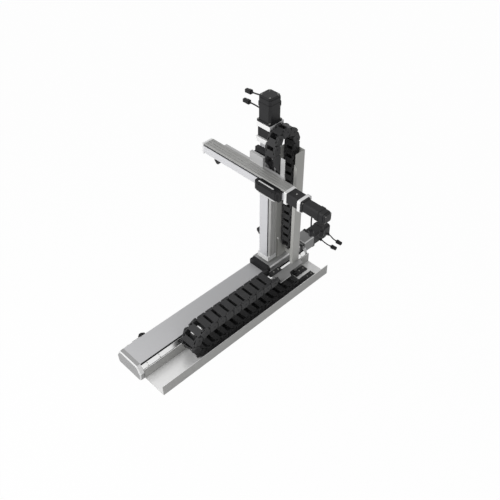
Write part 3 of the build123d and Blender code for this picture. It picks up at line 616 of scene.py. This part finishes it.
def end_piece(width, layer, cheek, back, reach, foot, feet=(-1, 1)):
    """Two sloped cheeks and their feet. The pin is at the origin and the feet lie below it.

    A cheek has its full height from its pin to back, slopes down from there to reach, and has a
    thin rib beside it. A foot fills the way from a gap at the middle out to its cheek, and goes
    past the cheek's end by foot where side is one of feet.
    """
    corner, edge = 6.0, 0.6
    rib_thick, rib_edge, rib_place = 2.0, 0.3, 0.55 * cheek
    rib_low, rib_top, rib_end = foot_top - 0.5, 0.4 * chain_radius, reach - 2
    outline = [(-chain_radius, corner - chain_radius), (corner - chain_radius, -chain_radius),
               (reach, -chain_radius), (reach, foot_top), (back, chain_radius),
               (corner - chain_radius, chain_radius), (-chain_radius, chain_radius - corner)]
    rib = [(back, rib_low), (rib_end, rib_low), (back, rib_top)]
    shapes = []
    for side in (-1, 1):
        shapes.append(upright(plate(outline, 0, layer, edge), cheek, side, layer))
        shapes.append(upright(plate(rib, 0, rib_thick, rib_edge), rib_place, side, rib_thick))
        low_y, high_y = sorted((side * foot_gap_share * width, side * cheek))
        long = reach + foot if side in feet else reach
        shapes.append(plate(rectangle(back, long, low_y, high_y), -chain_radius, foot_top, edge))
    return joined(shapes)


def end_screws(width, cheek, reach, foot, feet=(-1, 1), **others):
    """Two screw heads on each foot of an end piece, in the middle of the foot's width."""
    head = screw_head(foot_screw_radius, 0.7 * foot_screw_radius)
    across = (cheek + foot_gap_share * width) / 2
    return joined(moved(head, (reach + foot * share, side * across, foot_top))
                  for share in (0.3, 0.78) for side in feet)


def flipped(shape):
    """A shape mirrored in z, with its faces turned round so that they still point outwards."""
    points, faces = shape
    return points * np.array([1, 1, -1]), [face[::-1] for face in faces]


print("faces in an end piece:", len(end_piece(**chain_ends["x_fixed"])[1]))

# %% [markdown]
# ## Laying a chain, and the links that change their run
#
# When a slider travels, the bend of its chain follows at half its speed, so links leave one
# run one after another and the other run grows by as many. No rigid body does that: each link
# that changes its run would travel its own constant share of the slider's way. Here such links
# are laid at rest, each with its share worked out, and none is made to travel. The run that
# grows keeps spare links nested in the link it starts from. The photograph has every slider at
# its motor's end, so on the floor the fixed run is the one that grows, and on the column the
# moving run. Nested links are a little smaller, so that no two surfaces lie in one place.


# %% Places along a chain
bend_count = 4
half_step = radians(90 / bend_count)


def run_places(start, angle, pitch, count):
    """Centre and turn of each link of a straight run from a first pin, along an angle about Y."""
    ahead = np.array([cos(radians(angle)), 0, -sin(radians(angle))])
    return [(np.array(start) + ahead * pitch * (k + 0.5), angle) for k in range(count)]


def bend_places(centre, pitch, first_angle):
    """Centre and turn of the links of a half circle whose pins lie on one circle.

    A link's middle lies half a pitch divided by the tangent of half its turn from the centre,
    and its pins half a pitch divided by the sine.
    """
    reach = pitch / 2 / tan(half_step)
    angles = [first_angle + 180 / bend_count * (k + 0.5) for k in range(bend_count)]
    return [(np.array(centre) + reach * np.array([sin(radians(a)), 0, cos(radians(a))]), a)
            for a in angles]


def laid(link, places, scale=1.0):
    """Copies of a link at the given places, as one shape."""
    return joined(moved(link, centre, turn_about("Y", angle), scale) for centre, angle in places)


def chain_piece(name, shape, body=None):
    """A piece of chain polyamide, riding on a body if one is given."""
    return piece(name, shape, chain_plastic, body)


print("links in a bend:", bend_count)


# %% Links that change their run
def step_place(share):
    """Where between two marks the smooth step w = t * t * (3 - 2 * t) gives a share, as t."""
    return 0.5 - sin(np.arcsin(1 - 2 * share) / 3)


def travel_share(item, share):
    """Bakes a piece's place into its mesh; the piece is not made to travel.

    The place between two marks that the share asks, and a far distance of a kilometre, are worked
    out but not used.
    """
    t, far = step_place(share), 1000.0
    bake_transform(item)


def nested_scale(rank):
    """A link's size when it lies this many places deep in a nest."""
    return 1 - 0.0016 * rank


print("place of a quarter share:", round(step_place(0.25), 4))

# %% [markdown]
# ## The floor's chain
#
# This chain lies in the long tray. Its lower run is screwed down there and leads to the near
# end, a half circle of four links turns it up, and the upper run comes back to the plate on the
# slider. Runs and bend meet on their pins, so a run's height follows from the ring of pins
# round the bend's centre: half a pitch divided by the sine of half a link's turn.

# %% X chain
x_bend = np.array([-185.0, -104.0, 66.3])
x_ring = x_pitch / 2 / sin(half_step)
x_lower_count, x_upper_count, x_travel = 13, 9, 600.0
x_lower_end = x_bend + np.array([x_lower_count * x_pitch, 0, -x_ring])
x_upper_start = x_bend + np.array([0, 0, x_ring])
x_upper_end = x_upper_start + np.array([x_upper_count * x_pitch, 0, 0])
x_lower = run_places(x_lower_end, 180, x_pitch, x_lower_count)
x_upper = run_places(x_upper_start, 0, x_pitch, x_upper_count)

fixed = joined([laid(x_link, x_lower), moved(end_piece(**chain_ends["x_fixed"]), x_lower_end)])
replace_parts(chain_piece("x_lower_links", fixed, "base"), "x_chain_lower_run")
bend = laid(x_link, bend_places(x_bend, x_pitch, -180))
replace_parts(chain_piece("x_bend_links", bend, "x_chain_bend"), "x_chain_bend_links")
moving = joined([laid(x_link, x_upper[-1:]),
                 moved(end_piece(**chain_ends["x_moving"]), x_upper_end)])
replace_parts(chain_piece("x_moving_links", moving, "x_carriage"), "x_chain_moving_end")
for k, place in enumerate(x_upper[:-1]):
    scale = nested_scale(x_upper_count - 1 - k)
    link = chain_piece(f"x_upper_link_{k + 1}", laid(x_link, [place], scale))
    travel_share(link, 0.5 + x_pitch * k / x_travel)
    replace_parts(link, "x_chain_upper_run")
for k in range(1, x_upper_count):
    spare = chain_piece(f"x_spare_link_{k}", laid(x_link, x_lower[-1:], nested_scale(k)))
    travel_share(spare, x_pitch * k / x_travel)
print("X links:", x_lower_count + bend_count + x_upper_count, "and", x_upper_count - 1, "spare")

# %% [markdown]
# ## The column's chain
#
# The second chain stands in the upright tray. Its back run is screwed to the tray and goes up,
# the bend turns it over, and the front run comes down to the beam's plate. The same tools lay
# it, turned by a quarter turn, and its end pieces are mirrored first, because both have their
# feet at +X.

# %% Z chain
z_bend = np.array([256.8, -55.5, 644.0])
z_ring = z_pitch / 2 / sin(half_step)
z_back_count, z_fixed_count, z_travel = 13, 7, 375.0
z_rolled_count = z_back_count - z_fixed_count
z_back_top = z_bend + np.array([z_ring, 0, 0])
z_back_low = z_back_top - np.array([0, 0, z_back_count * z_pitch])
z_front_end = z_bend - np.array([z_ring, 0, z_pitch])
z_back = run_places(z_back_top, 90, z_pitch, z_back_count)
z_front = run_places(z_front_end, -90, z_pitch, 1)


def downward(shape, place):
    """An end piece or its screws, mirrored and turned down along the column from a pin."""
    return moved(flipped(shape), place, turn_about("Y", 90))


fixed = joined([laid(z_link, z_back[-z_fixed_count:]),
                downward(end_piece(**chain_ends["z_fixed"]), z_back_low)])
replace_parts(chain_piece("z_fixed_links", fixed, "x_carriage"), "z_chain_back_run")
bend = laid(z_link, bend_places(z_bend, z_pitch, -90))
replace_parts(chain_piece("z_bend_links", bend, "z_chain_bend"), "z_chain_bend_links")
moving = joined([laid(z_link, z_front), downward(end_piece(**chain_ends["z_moving"]), z_front_end)])
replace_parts(chain_piece("z_moving_links", moving, "z_carriage"), "z_chain_moving_end")
rolled = z_travel / 2
for k, place in enumerate(z_back[:-z_fixed_count][::-1], start=1):
    link = chain_piece(f"z_back_link_{k}", laid(z_link, [place], nested_scale(k)))
    share = (z_pitch * k - (z_rolled_count * z_pitch - rolled)) / z_travel
    travel_share(link, share)
    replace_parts(link, "z_chain_upper_run")
for k in range(1, z_rolled_count + 1):
    spare = chain_piece(f"z_spare_link_{k}", laid(z_link, z_front, nested_scale(k)))
    travel_share(spare, (rolled + z_pitch * (k - 1)) / z_travel)
print("Z links:", z_back_count + bend_count + len(z_front), "and", z_rolled_count, "spare")

# %% [markdown]
# ## Motor leads
#
# Each motor has two short moulded leads that stick out stiffly and end in a plug. A lead is a
# NURBS curve with the CAD route's points as its control points and a round bevel, so the
# curve is smooth where the CAD tube has arcs. Each row below gives the body a lead rides on,
# its length in metres and its route in millimetres, from the motor out.

# %% Leads
lead_diameter = 0.005
lead_routes = {
    "x_motor_lead_power": ("base", 0.043, [(590, -27.75, 19), (590, -36.5, 19), (589.6, -47, 15.2),
                                           (588.8, -58, 10.4), (589.4, -69, 10)]),
    "x_motor_lead_encoder": ("base", 0.048, [(542, -27.75, 19), (542, -37, 19), (543.4, -50, 14.6),
                                             (546, -63, 10.2), (548, -74, 9.8)]),
    "y_motor_lead_power": ("z_carriage", 0.062, [(160, -280, 524.35), (160, -280, 512),
                                                 (159.6, -279.4, 496), (160.2, -280, 478),
                                                 (160, -280.6, 462)]),
    "y_motor_lead_encoder": ("z_carriage", 0.0405, [(163, -326, 524.35), (163, -326, 514),
                                                    (163.6, -326.8, 499), (163, -325, 484)]),
    "z_motor_lead_power": ("x_carriage", 0.0385, [(238, 27.75, 789), (238, 37, 789),
                                                  (237.6, 51, 786.4), (238, 66, 784.6)]),
    "z_motor_lead_encoder": ("x_carriage", 0.047, [(238, 27.75, 742.4), (238, 41, 742.4),
                                                   (238.6, 57, 743.4), (238, 75, 743.2)]),
}


def lead_curve(name, route):
    """An open NURBS spline through the route's control points, with a round section."""
    data = bpy.data.curves.new(name, "CURVE")
    data.dimensions = "3D"
    data.bevel_depth = lead_diameter / 2
    data.bevel_resolution = 4
    data.use_fill_caps = True
    spline = data.splines.new("NURBS")
    spline.points.add(len(route) - 1)
    for point, place in zip(spline.points, route):
        point.co = (*(part / 1000 for part in place), 1)
    spline.order_u = 3
    spline.use_endpoint_u = True
    spline.resolution_u = 12
    data.materials.append(jacket)
    item = bpy.data.objects.new(name, data)
    bpy.context.scene.collection.objects.link(item)
    return item


print("leads:", len(lead_routes), "and", lead_diameter * 1000, "mm thick")

# %% [markdown]
# ## Plugs and boots
#
# A lead ends in a moulded plug: a ribbed collar, a body with cut corners, a latch on one side
# and an open mouth with its contacts. Where it leaves the motor it wears a short tapered boot,
# so that it doesn't break there. Both are drawn along z and turned into the lead's direction.


# %% Plug and boot
def plug(long, wide):
    """A plug along z: ribbed collar, body with an open mouth, latch, and its contacts apart."""
    latch_half, latch_long, latch_thick, latch_sink = 0.16 * wide, 0.6 * long, 1.3, 0.5
    contact_depth = 4.2
    collar = turned([(0, -1.5), (2.6, -1.5), (3.4, 0), (3.6, 1.0), (2.9, 1.4), (2.9, 1.9),
                     (3.6, 2.3), (3.6, 3.1), (2.9, 3.5), (2.9, 4.2), (3.6, 4.6), (3.6, 5.4),
                     (0, 5.4)], 16)
    body = np.array(cut_square(wide, 0.18 * wide), float)
    mouth = stack(body, [(1.4, 5.0), (0.4, 5.2), (0, 6.0), (0, 0.55 * long), (0.7, 0.57 * long),
                         (0.7, long - 0.6), (1.1, long), (1.9, long), (2.0, long - 4)])
    latch = plate(rectangle(-latch_half, latch_half, 0, latch_long), 0, latch_thick, 0.4)
    latch = moved(latch, (0, latch_sink - wide / 2, latch_long / 2), turn_about("X", 90))
    contact = turned([(0, 0), (0.6, 0), (0.6, 3.0), (0.3, 3.4), (0, 3.4)], 8)
    contacts = [moved(contact, (x, y, long - contact_depth))
                for x in (-2.6, 0, 2.6) for y in (-1.7, 1.7)]
    return joined([collar, mouth, latch]), joined(contacts)


def boot(long):
    """A tapered boot along z round a lead, with a flange against the motor."""
    return turned([(0, -0.2), (6.2, -0.2), (6.2, 1.6), (5.6, 2.0), (4.4, 2.2), (3.9, 2.6),
                   (2.7, long), (0, long)], 20)


plug_sizes = {"x": (29, 15), "y": (28, 14), "z": (31, 15)}
boot_length = 8.0
for name, (rides, length, route) in lead_routes.items():
    axis, kind = name[0], name.rsplit("_", 1)[1]
    first, last = np.array(route[0], float), np.array(route[-1], float)
    shape, pins = plug(*plug_sizes[axis])
    way_out, way_in = facing(last - np.array(route[-2])), facing(np.array(route[1]) - first)
    housing = piece(f"{axis}_{kind}_plug", moved(shape, last, way_out), plug_plastic,
                    rides)
    contacts = piece(f"{axis}_{kind}_contacts", moved(pins, last, way_out), zinc,
                     rides)
    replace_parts(housing, f"{axis}_lead_connectors")
    piece(f"{axis}_{kind}_boot", moved(boot(boot_length), first, way_in), plug_plastic,
          rides, smooth=True)
    cord = lead_curve(f"{axis}_{kind}_cord", route)
    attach(cord, rides)
    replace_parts(cord, name)
    print(name, "declared", round(length * 1000, 1), "mm")

# %% [markdown]
# ## Screws
#
# Screw heads are small, but they tell the eye how big a machine is and where it comes apart.
# The photograph shows them on the X actuator's shoulders near both ends, on the chain feet and
# on the beam, and a motor always has four in its flange and four in its rear cap. Each group
# that rides on one body is one piece. A motor's axis is given as its number, a point on it and
# the way its rear cap faces, and a square of four as its place along that axis, its half side
# and a head's radius and height.


# %% Shoulder and foot screws
def heads(places, direction, radius, height):
    """Screw heads at several places, all facing one way."""
    turn = facing(direction)
    return joined(moved(screw_head(radius, height), place, turn) for place in places)


def screws(name, shape, body):
    """A group of zinc-plated screws that rides on one body."""
    return piece(name, shape, zinc, body)


shoulder_low, shoulder_high = np.array([61.75, 45.0]), np.array([51.2, 57.0])
fall, rise = shoulder_low[0] - shoulder_high[0], shoulder_high[1] - shoulder_low[1]
shoulder = []
for side in (-1, 1):
    for share in (0.2, 0.8):
        y, z = shoulder_low + (shoulder_high - shoulder_low) * share
        shoulder.append(heads([(x, side * y, z) for x in (-385, -334, 334, 385)],
                              (0, side * rise, fall), radius=2.4, height=0.9))
screws("x_shoulder_screws", joined(shoulder), "base")
screws("x_fixed_foot_screws", moved(end_screws(**chain_ends["x_fixed"]), x_lower_end), "base")
screws("x_moving_foot_screws", moved(end_screws(**chain_ends["x_moving"]), x_upper_end),
       "x_carriage")
screws("z_fixed_foot_screws", downward(end_screws(**chain_ends["z_fixed"]), z_back_low),
       "x_carriage")
screws("z_moving_foot_screws", downward(end_screws(**chain_ends["z_moving"]), z_front_end),
       "z_carriage")
print("shoulder screws:", 4 * len(shoulder))


# %% Beam and motor screws
def square_of_four(centre, reach, axis):
    """Four places round a centre on an axis: 0 is X, 1 is Y, 2 is Z."""
    others = [k for k in range(3) if k != axis]
    places = []
    for first in (-1, 1):
        for second in (-1, 1):
            place = np.array(centre, float)
            place[others[0]] += first * reach
            place[others[1]] += second * reach
            places.append(place)
    return places


beam_top = 563.0
screws("y_beam_screws", heads([(163, y, beam_top) for y in (153, 50, -211)], (0, 0, 1),
                              radius=2.3, height=0.9), "z_carriage")
motor_axes = {"x": (0, (0, 0, 41), 1), "y": (1, (160, 0, 542.85), -1), "z": (2, (250, 0, 0), 1)}
motor_screws = {
    "x_motor_screws": ("base", [(500, 25.6, 3.0, 2.2), (599.6, 18.5, 2.6, 0.9)]),
    "z_motor_screws": ("x_carriage", [(712, 25.6, 3.0, 2.2), (800.6, 18.5, 2.6, 0.9)]),
    "y_motor_screws": ("z_carriage", [(-254, 17.0, 2.0, 1.4), (-344.6, 12.0, 1.8, 0.9)]),
}
for name, (body, groups) in motor_screws.items():
    axis, line, sign = motor_axes[name[0]]
    along = np.eye(3)[axis]
    screws(name, joined(heads(square_of_four(np.array(line) + along * place, reach, axis),
                              along * sign, radius, height)
                        for place, reach, radius, height in groups), body)
print("motor screw groups:", len(motor_screws))

# %% [markdown]
# ## Slider trim and the tray's lower leg
#
# The beam's slider is a moulded black body with a thin pale inlay along its top edge and a bare
# metal sill below, where its plate shows. Both are plain strips. The column's tray is screwed to
# the column's side, and in the photograph its inner leg goes on down to the foot and closes the
# view behind the gusset, so a plate of the same sheet is added under the CAD tray's leg.


# %% Strips
def slab(x, y, z, edge=0.2):
    """A flat strip from its three ranges, with softly rounded upper and lower rims."""
    return plate(rectangle(*x, *y), *z, edge)


inlay = slab((126.0, 130.5), (-140, -72.5), (561.4, 562.6))
sill = slab((121.0, 128.0), (-150, -77), (520.4, 522.6))
piece("y_slider_inlay", inlay, bright, "y_carriage")
piece("y_slider_sill", sill, bright, "y_carriage")
piece("z_tray_leg_end", slab((279, 318), (-29.8, -27.6), (92, 197)), z_sheet,
      "x_carriage")
print("strips: 3")

# %% [markdown]
# ## Floor, world and lamps
#
# One soft lamp above the machine's near end gives the top and the -X faces their light and
# leaves the -Y faces a tone darker, as in the photograph. A weak and broad one from the -Y side
# keeps the chain's side plates from going black. The floor and the sky show white only to
# camera, glossy and transmission rays, so that metal mirrors the white studio while the light
# on the object stays plain.

# %% World
world = bpy.data.worlds.new("studio")
bpy.context.scene.world = world
world.use_nodes = True
sky = world.node_tree
sky_light = sky.nodes["Background"]
sky_light.inputs["Color"].default_value = (1, 1, 1, 1)
sky_light.inputs["Strength"].default_value = 0.32
sky_white = sky.nodes.new("ShaderNodeBackground")
sky_white.inputs["Color"].default_value = (1, 1, 1, 1)
sky_white.inputs["Strength"].default_value = 1.0


def white_rays(tree):
    """A socket that is 1 for camera, glossy and transmission rays, and 0 for the others."""
    rays = tree.nodes.new("ShaderNodeLightPath")
    total = rays.outputs["Is Camera Ray"]
    for kind in ("Is Glossy Ray", "Is Transmission Ray"):
        larger = tree.nodes.new("ShaderNodeMath")
        larger.operation = "MAXIMUM"
        tree.links.new(total, larger.inputs[0])
        tree.links.new(rays.outputs[kind], larger.inputs[1])
        total = larger.outputs[0]
    return total


pick = sky.nodes.new("ShaderNodeMixShader")
sky.links.new(white_rays(sky), pick.inputs[0])
sky.links.new(sky_light.outputs[0], pick.inputs[1])
sky.links.new(sky_white.outputs[0], pick.inputs[2])
sky.links.new(pick.outputs[0], sky.nodes["World Output"].inputs["Surface"])
print("sky light:", round(sky_light.inputs["Strength"].default_value, 2))


# %% Lamps and floor
def lamp(name, place, target, size, power):
    """A round area lamp at a place, turned towards a target, with its power in watts."""
    data = bpy.data.lights.new(name, "AREA")
    data.shape = "DISK"
    data.size = size
    data.energy = power
    item = bpy.data.objects.new(name, data)
    item.location = place
    item.rotation_euler = (Vector(target) - Vector(place)).to_track_quat("-Z", "Y").to_euler()
    bpy.context.scene.collection.objects.link(item)


lamp("key", (-1.25, 0.05, 1.25), (0.0, 0, 0.2), size=0.75, power=20)
lamp("fill", (-0.5, -1.6, 0.6), (0.05, -0.05, 0.2), size=1.0, power=3.6)

half_floor, floor_drop, white_share = 60.0, 0.0006, 0.98
floor_mesh = bpy.data.meshes.new("floor")
floor_mesh.from_pydata([(x, y, 0) for x, y in rectangle(-half_floor, half_floor,
                                                        -half_floor, half_floor)],
                       [], [(0, 1, 2, 3)])
floor = bpy.data.objects.new("floor", floor_mesh)
floor.location.z = -floor_drop
bpy.context.scene.collection.objects.link(floor)
floor_finish = Finish("floor_white", (0.6, 0.6, 0.6), 0.9)
floor_mesh.materials.append(floor_finish.material)
floor_share = Signal(floor_finish, white_rays(floor_finish.tree)) * white_share
floor_white = floor_finish.add("ShaderNodeEmission")
floor_surface = floor_finish.add("ShaderNodeMixShader", None,
                                 {0: floor_share, 2: floor_white})
floor_finish.tree.links.new(floor_finish.shader.outputs[0], floor_surface.socket.node.inputs[1])
floor_finish.tree.links.new(floor_surface.socket,
                            floor_finish.tree.nodes["Material Output"].inputs["Surface"])
print("lamps and floor ready")
